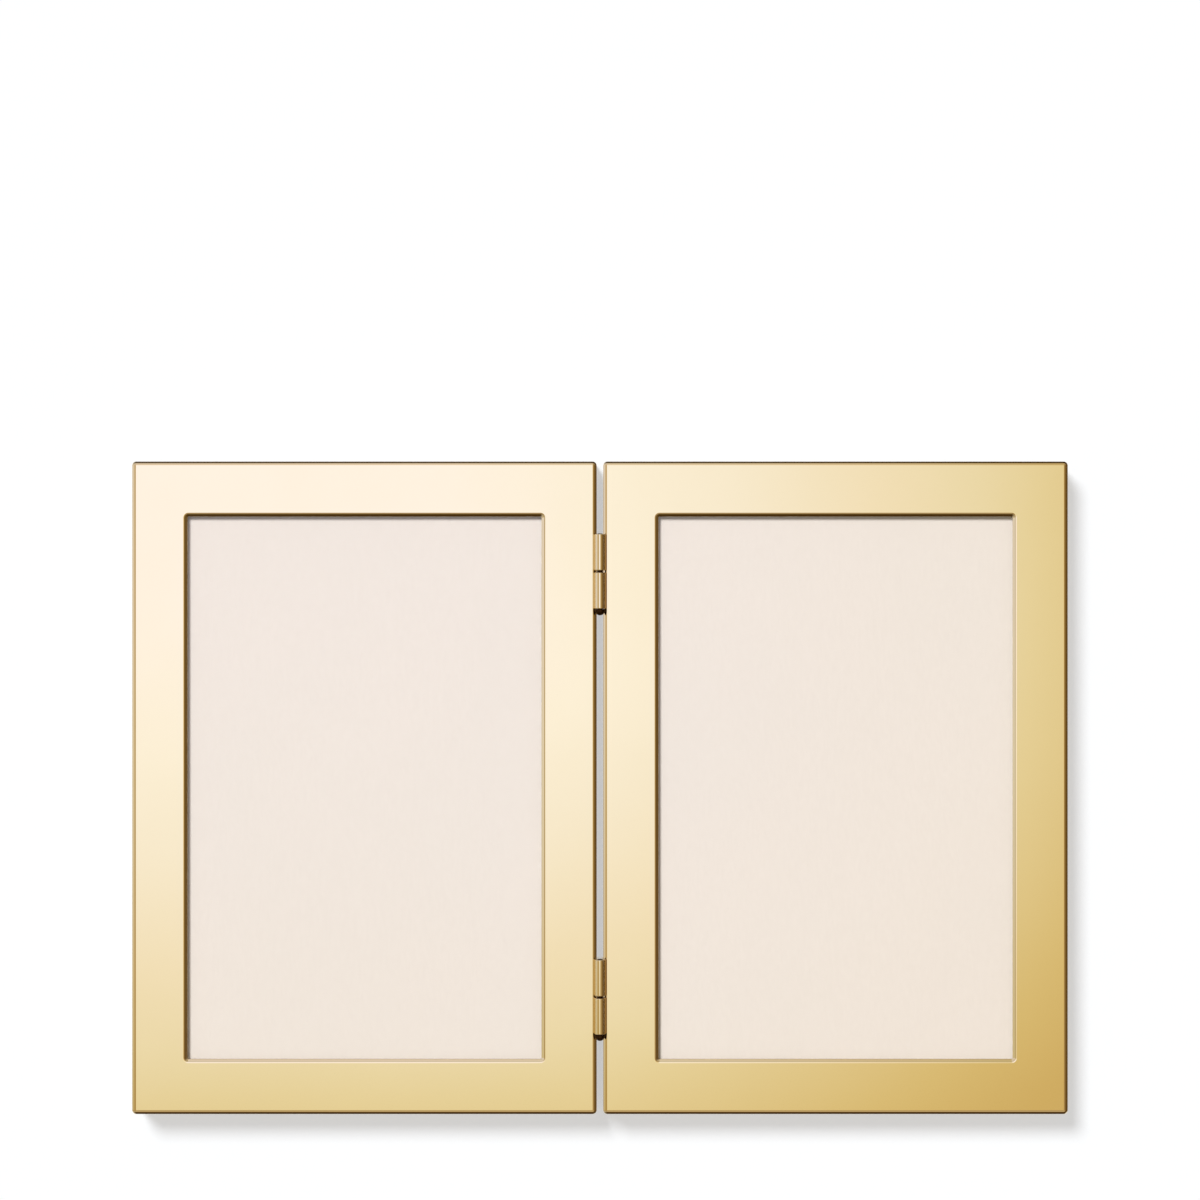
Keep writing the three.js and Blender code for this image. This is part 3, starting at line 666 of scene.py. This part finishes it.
def hinge_half():
    """The left half of a hinge round its axis: blank, rolled tab and countersunk holes."""
    path = hinge_path()
    shoulder = path[0][0] - TAB_ROOT
    end = sum(length for length, _ in path)
    half, corner = hinge_length / 2, HINGE_CORNER
    blank = rounded_corner(corner - half, corner, corner, math.pi)
    blank += rounded_corner(half - corner, corner, corner, 1.5 * math.pi)
    blank += [(half, end), (KNUCKLE_GAP / 2, end), (KNUCKLE_GAP / 2, shoulder), (-half, shoulder)]
    sheet = slab(bmesh.new(), blank, -HINGE_SHEET / 2, HINGE_SHEET / 2, HINGE_EASE)
    for step in range(1, ROLL_CUTS):
        level = path[0][0] + (end - path[0][0]) * step / ROLL_CUTS
        geometry = sheet.verts[:] + sheet.edges[:] + sheet.faces[:]
        bmesh.ops.bisect_plane(sheet, geom=geometry, plane_co=(0, level, 0), plane_no=(0, 1, 0))
    for vert in sheet.verts:
        x, z = bent(path, vert.co.y, vert.co.z)
        vert.co = (x, vert.co.x, z)
    tools = []
    for y in (HINGE_SCREW_SPREAD / 2, -HINGE_SCREW_SPREAD / 2):
        depth = HINGE_SCREW_HEAD - HINGE_SCREW_SHANK
        profile = [
            (HINGE_SCREW_HEAD + depth + COUNTERSINK_SPARE, -depth),
            (HINGE_SCREW_SHANK + COUNTERSINK_SPARE, depth),
            (HINGE_SCREW_SHANK + COUNTERSINK_SPARE, 3 * depth),
        ]
        tool = skin([ring_at(level, radius) for radius, level in profile], closed=False)
        laid = Matrix.Rotation(-math.pi / 2, 4, "Y")
        tool.transform(Matrix.Translation((plate_face, y, screw_level)) @ laid)
        tools.append(tool)
    return carved(sheet, tools)


rolled_plate = mesh_from(hinge_half(), "rolled_plate", gold)

for hinge in HINGES:
    for side in SIDES:
        node = f"{hinge}_hinge_{side}_plate"
        turned = Matrix.Rotation(0 if side == "left" else math.pi, 4, "Z")
        spot = Matrix.Translation((0, middle(node).y, axis_level)) @ turned
        fit(piece_of(rolled_plate, f"{node}_rolled", spot), f"{side}_leaf", "gold_plate", node)

# Hinge pins: a turned bronze pin, coloured almost black, holds the two knuckles together. Its domed head
# shows below the lower knuckle, and its other end is rounded off just above the upper one. The near-black
# colour is partly the pin's own dark finish and partly painted shade, darkening the joint between the
# knuckles and the head.
PIN_RADIUS = 0.75 * MM
PIN_HEAD_RADIUS = 1.45 * MM
PIN_HEAD = 1.7 * MM
PIN_END = 0.2 * MM

dark_bronze = finish_of("near_black_bronze_painted_shade", {"Metallic": 1.0})
dark_tone_noise = cloud(dark_bronze, 0.8 * MM, detail=5.0)
# Painted shade: the near-black colour also stands for the shade in the joint between the knuckles and on the
# head.
mottle(dark_bronze, "Base Color", dark_tone_noise, (0.035, 0.017, 0.008), (0.075, 0.04, 0.02))
mottle(dark_bronze, "Roughness", cloud(dark_bronze, 0.3 * MM, (1, 1, 3), 4.0), 0.35, 0.5)
relief(dark_bronze, cloud(dark_bronze, 0.15 * MM), 0.003 * MM)

pin_low, pin_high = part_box("upper_hinge_pin")
pin_length = pin_high.y - pin_low.y
profile = dome(PIN_HEAD_RADIUS, PIN_HEAD, 12)
profile += [(PIN_RADIUS, PIN_HEAD), (PIN_RADIUS, pin_length / 2)]
profile += [(radius, pin_length - level) for radius, level in reversed(dome(PIN_RADIUS, PIN_END, 6))]
loops = [ring_at(level, radius) for radius, level in profile]
turned_pin = mesh_from(skin(loops, closed=False), "turned_pin", dark_bronze)

for hinge in HINGES:
    node = f"{hinge}_hinge_pin"
    spot = Matrix.Translation((0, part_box(node)[0].y, axis_level)) @ Matrix.Rotation(-math.pi / 2, 4, "X")
    fit(piece_of(turned_pin, f"{node}_turned", spot), "left_leaf", "dark_bronze", node)

# Hinge screws: small countersunk brass wood screws, flush with the plates, that go through the side wall
# into the backing ring.
HINGE_SLOT_WIDTH = 0.36 * MM
HINGE_SLOT_DEPTH = 0.3 * MM
HINGE_SCREW_NECK = 1.6 * MM
HINGE_SCREW_MIDDLE = 0.1  # radius of the innermost ring on the flat head, as a share of the head's
FIRST_HINGE_STOP, NEXT_HINGE_STOP, LOWER_HINGE_STOP = 15, 50, 30

low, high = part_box("upper_hinge_left_screw_upper")
head = [(HINGE_SCREW_MIDDLE * HINGE_SCREW_HEAD, 0.0), (HINGE_SCREW_HEAD, 0.0)]
head += [(HINGE_SCREW_SHANK, HINGE_SCREW_HEAD - HINGE_SCREW_SHANK)]
loops = screw_loops(head, HINGE_SCREW_NECK, HINGE_SCREW_SHANK, high.x - low.x)
saw_cut = slot_tool(HINGE_SLOT_WIDTH, HINGE_SLOT_DEPTH, SAW_REACH * HINGE_SCREW_HEAD)
hinge_screw = mesh_from(carved(skin(loops, closed=False), [saw_cut]), "hinge_screw", brass)

for hinge in HINGES:
    for side in SIDES:
        for order, end in enumerate(HINGES):
            node = f"{hinge}_hinge_{side}_screw_{end}"
            crown, into = (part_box(node)[1].x, -1) if side == "left" else (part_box(node)[0].x, 1)
            stop = FIRST_HINGE_STOP + NEXT_HINGE_STOP * order + (LOWER_HINGE_STOP if hinge == "lower" else 0)
            spun = Matrix.Rotation(math.radians(stop), 4, "Z")
            laid = Matrix.Rotation(into * math.pi / 2, 4, "Y")
            spot = Matrix.Translation((crown, *middle(node).yz)) @ laid @ spun
            fit(piece_of(hinge_screw, f"{node}_slotted", spot), f"{side}_leaf", "plain_brass", node)

# Studio: the frame lies on a plain white floor under one broad soft lamp, high on the upper left, with an
# even, warmer fill all round. The gold mirrors a soft overhead glow, and cards that draw its edges.
FLOOR_SIZE = 4.0
FLOOR_ALBEDO = 0.5
FLOOR_LIFT = (1.0, 1.02, 1.045)
KEY_SHARE = 0.72  # of the light on the floor; the fill gives the rest
FILL_COLOUR = (1.0, 0.9, 0.78)  # the lamp is as much cooler, so both together are white
KEY_FROM = Vector((-0.45, 0.61, 1.0))
KEY_ANGLE = math.radians(19.5)
CAMERA_PLACE = (0.0, 0.0507, 0.9114)
LENS = 100
SENSOR = 36
# Colours that the gold mirrors, by how far a direction leans from straight up. The glow overhead fades
# to the right and down, and a row of cards stands on each side.
GLOW_LEAN = (0.83, -1, 0)
GLOW_CENTRE = (0.041, 0, 0)
GLOW = (
    (0.0, (1.10, 1.13, 1.40)),
    (0.045, (1.07, 1.105, 1.255)),
    (0.075, (1.02, 1.035, 1.12)),
    (0.11, (0.965, 0.93, 0.87)),
    (0.135, (0.905, 0.87, 0.73)),
    (0.15, (0.858, 0.793, 0.573)),
    (0.187, (0.748, 0.618, 0.315)),
    (0.21, (0.677, 0.517, 0.225)),
    (0.3, (0.62, 0.5, 0.3)),
    (0.4, (1.0, 1.0, 1.0)),
)
CARDS_RIGHT = (
    (0.21, (1.0, 1.0, 1.0)),
    (0.27, (0.5, 0.38, 0.2)),
    (0.5, (0.42, 0.3, 0.14)),
    (0.7, (0.27, 0.17, 0.06)),
    (0.85, (0.17, 0.1, 0.03)),
    (0.96, (0.15, 0.1, 0.048)),
    (1.0, (0.12, 0.07, 0.02)),
)
CARDS_DOWN = (
    (0.22, (1.0, 1.0, 1.0)),
    (0.27, (0.42, 0.32, 0.17)),
    (0.36, (0.42, 0.32, 0.17)),
    (0.42, (0.68, 0.58, 0.41)),
    (0.73, (0.57, 0.47, 0.31)),
    (0.84, (0.3, 0.21, 0.1)),
    (0.9, (0.1, 0.06, 0.02)),
    (1.0, (0.05, 0.025, 0.004)),
)
CARDS_LEFT = (
    (0.26, (1.0, 1.0, 1.0)),
    (0.32, (0.46, 0.36, 0.19)),
    (0.42, (0.48, 0.38, 0.2)),
    (0.73, (0.61, 0.48, 0.27)),
    (0.88, (0.61, 0.54, 0.4)),
    (0.93, (0.68, 0.65, 0.57)),
    (0.97, (0.76, 0.74, 0.69)),
    (1.0, (0.68, 0.64, 0.53)),
)
CARDS_UP = (
    (0.3, (1.0, 1.0, 1.0)),
    (0.5, (0.85, 0.77, 0.65)),
    (0.75, (0.52, 0.45, 0.36)),
    (0.9, (0.6, 0.56, 0.48)),
    (0.945, (0.75, 0.7, 0.62)),
    (0.965, (0.08, 0.05, 0.03)),
    (1.0, (0.02, 0.012, 0.005)),
)


def ramp_of(tree, stops):
    """A colour ramp with the given stops."""
    ramp = tree.nodes.new("ShaderNodeValToRGB")
    elements = ramp.color_ramp.elements
    while len(elements) < len(stops):
        elements.new(0.5)
    for element, (position, colour) in zip(elements, stops):
        element.position = position
        element.color = (*colour, 1)
    return ramp


def vector_step(tree, operation, vector, *constants):
    """One step of vector arithmetic."""
    step = tree.nodes.new("ShaderNodeVectorMath")
    step.operation = operation
    tree.links.new(vector, step.inputs[0])
    for socket, constant in zip(step.inputs[1:], constants):
        if isinstance(constant, bpy.types.NodeSocket):
            tree.links.new(constant, socket)
        else:
            socket.default_value = constant
    return step


def seen_directly(tree):
    """1 for rays from the camera, a mirror or through glass, and 0 for rays that only light a surface."""
    path = tree.nodes.new("ShaderNodeLightPath")
    total = path.outputs["Is Camera Ray"]
    for name in ("Is Glossy Ray", "Is Transmission Ray"):
        adding = tree.nodes.new("ShaderNodeMath")
        adding.operation = "MAXIMUM"
        tree.links.new(total, adding.inputs[0])
        tree.links.new(path.outputs[name], adding.inputs[1])
        total = adding.outputs[0]
    return path, total


def white_floor():
    """Matt white paper that keeps the shadow and meets the white beyond it without a line."""
    paper = bpy.data.materials.new("white_paper")
    paper.use_nodes = True
    tree = paper.node_tree
    tree.nodes.remove(tree.nodes["Principled BSDF"])
    matt = tree.nodes.new("ShaderNodeBsdfDiffuse")
    matt.inputs["Color"].default_value = (FLOOR_ALBEDO, FLOOR_ALBEDO, FLOOR_ALBEDO, 1)
    _, seen = seen_directly(tree)
    share = tree.nodes.new("ShaderNodeMath")
    share.operation = "MULTIPLY"
    share.inputs[1].default_value = 1 - FLOOR_ALBEDO
    lift = tree.nodes.new("ShaderNodeEmission")
    lift.inputs["Color"].default_value = (*FLOOR_LIFT, 1)
    both = tree.nodes.new("ShaderNodeAddShader")
    tree.links.new(seen, share.inputs[0])
    tree.links.new(share.outputs[0], lift.inputs["Strength"])
    tree.links.new(matt.outputs[0], both.inputs[0])
    tree.links.new(lift.outputs[0], both.inputs[1])
    tree.links.new(both.outputs[0], tree.nodes["Material Output"].inputs["Surface"])
    return paper


def studio_world():
    """An even fill for matt surfaces, white for the camera, and the glow and the dark cards for mirrors."""
    world = bpy.data.worlds.new("studio")
    world.use_nodes = True
    tree = world.node_tree
    direction = tree.nodes.new("ShaderNodeTexCoord").outputs["Generated"]
    facing = vector_step(tree, "MULTIPLY_ADD", direction, GLOW_LEAN, GLOW_CENTRE).outputs[0]
    fading = vector_step(tree, "MAXIMUM", facing, (0, 0, 0)).outputs[0]
    glow = ramp_of(tree, GLOW)
    tree.links.new(vector_step(tree, "LENGTH", fading).outputs["Value"], glow.inputs[0])

    level = vector_step(tree, "MULTIPLY", direction, (1, 1, 0)).outputs[0]
    lean = vector_step(tree, "LENGTH", level).outputs["Value"]
    way = vector_step(tree, "NORMALIZE", level).outputs[0]
    cards = None
    for turn, rows in ((1, (CARDS_RIGHT, CARDS_UP)), (-1, (CARDS_LEFT, CARDS_DOWN))):
        turned = vector_step(tree, "MULTIPLY", way, (turn, turn, turn)).outputs[0]
        towards = vector_step(tree, "MAXIMUM", turned, (0, 0, 0)).outputs[0]
        shares = tree.nodes.new("ShaderNodeSeparateXYZ")
        tree.links.new(vector_step(tree, "MULTIPLY", towards, towards).outputs[0], shares.inputs[0])
        for row, share in zip(rows, shares.outputs):
            ramp = ramp_of(tree, row)
            tree.links.new(lean, ramp.inputs[0])
            so_far = cards or (0, 0, 0)
            cards = vector_step(tree, "MULTIPLY_ADD", ramp.outputs["Color"], share, so_far).outputs[0]
    mirrored = vector_step(tree, "MULTIPLY", glow.outputs["Color"], cards).outputs[0]

    fill, white, glossy = (tree.nodes.new("ShaderNodeBackground") for _ in range(3))
    fill.inputs["Color"].default_value = (*FILL_COLOUR, 1)
    fill.inputs["Strength"].default_value = 1 - KEY_SHARE
    white.inputs["Color"].default_value = (1, 1, 1, 1)
    tree.links.new(mirrored, glossy.inputs["Color"])
    path, seen = seen_directly(tree)
    to_seen = tree.nodes.new("ShaderNodeMixShader")
    tree.links.new(seen, to_seen.inputs[0])
    tree.links.new(fill.outputs[0], to_seen.inputs[1])
    tree.links.new(white.outputs[0], to_seen.inputs[2])
    to_glossy = tree.nodes.new("ShaderNodeMixShader")
    tree.links.new(path.outputs["Is Glossy Ray"], to_glossy.inputs[0])
    tree.links.new(to_seen.outputs[0], to_glossy.inputs[1])
    tree.links.new(glossy.outputs[0], to_glossy.inputs[2])
    output = next(node for node in tree.nodes if node.bl_idname == "ShaderNodeOutputWorld")
    tree.links.new(to_glossy.outputs[0], output.inputs["Surface"])
    return world


scene = bpy.context.scene
scene.world = studio_world()
scene.view_settings.view_transform = "Standard"

sweep = bmesh.new()
bmesh.ops.create_grid(sweep, x_segments=1, y_segments=1, size=FLOOR_SIZE / 2)
floor = piece_from(sweep, "floor", white_floor())

key = bpy.data.objects.new("key_lamp", bpy.data.lights.new("key_lamp", "SUN"))
key.data.energy = KEY_SHARE * math.pi / KEY_FROM.normalized().z
key.data.color = [(1 - (1 - KEY_SHARE) * part) / KEY_SHARE for part in FILL_COLOUR]
key.data.angle = KEY_ANGLE
key.rotation_euler = KEY_FROM.to_track_quat("Z", "Y").to_euler()
key.visible_glossy = False
scene.collection.objects.link(key)

camera = bpy.data.objects.new("camera", bpy.data.cameras.new("camera"))
camera.data.lens = LENS
camera.data.sensor_width = SENSOR
camera.location = CAMERA_PLACE
scene.collection.objects.link(camera)
scene.camera = camera
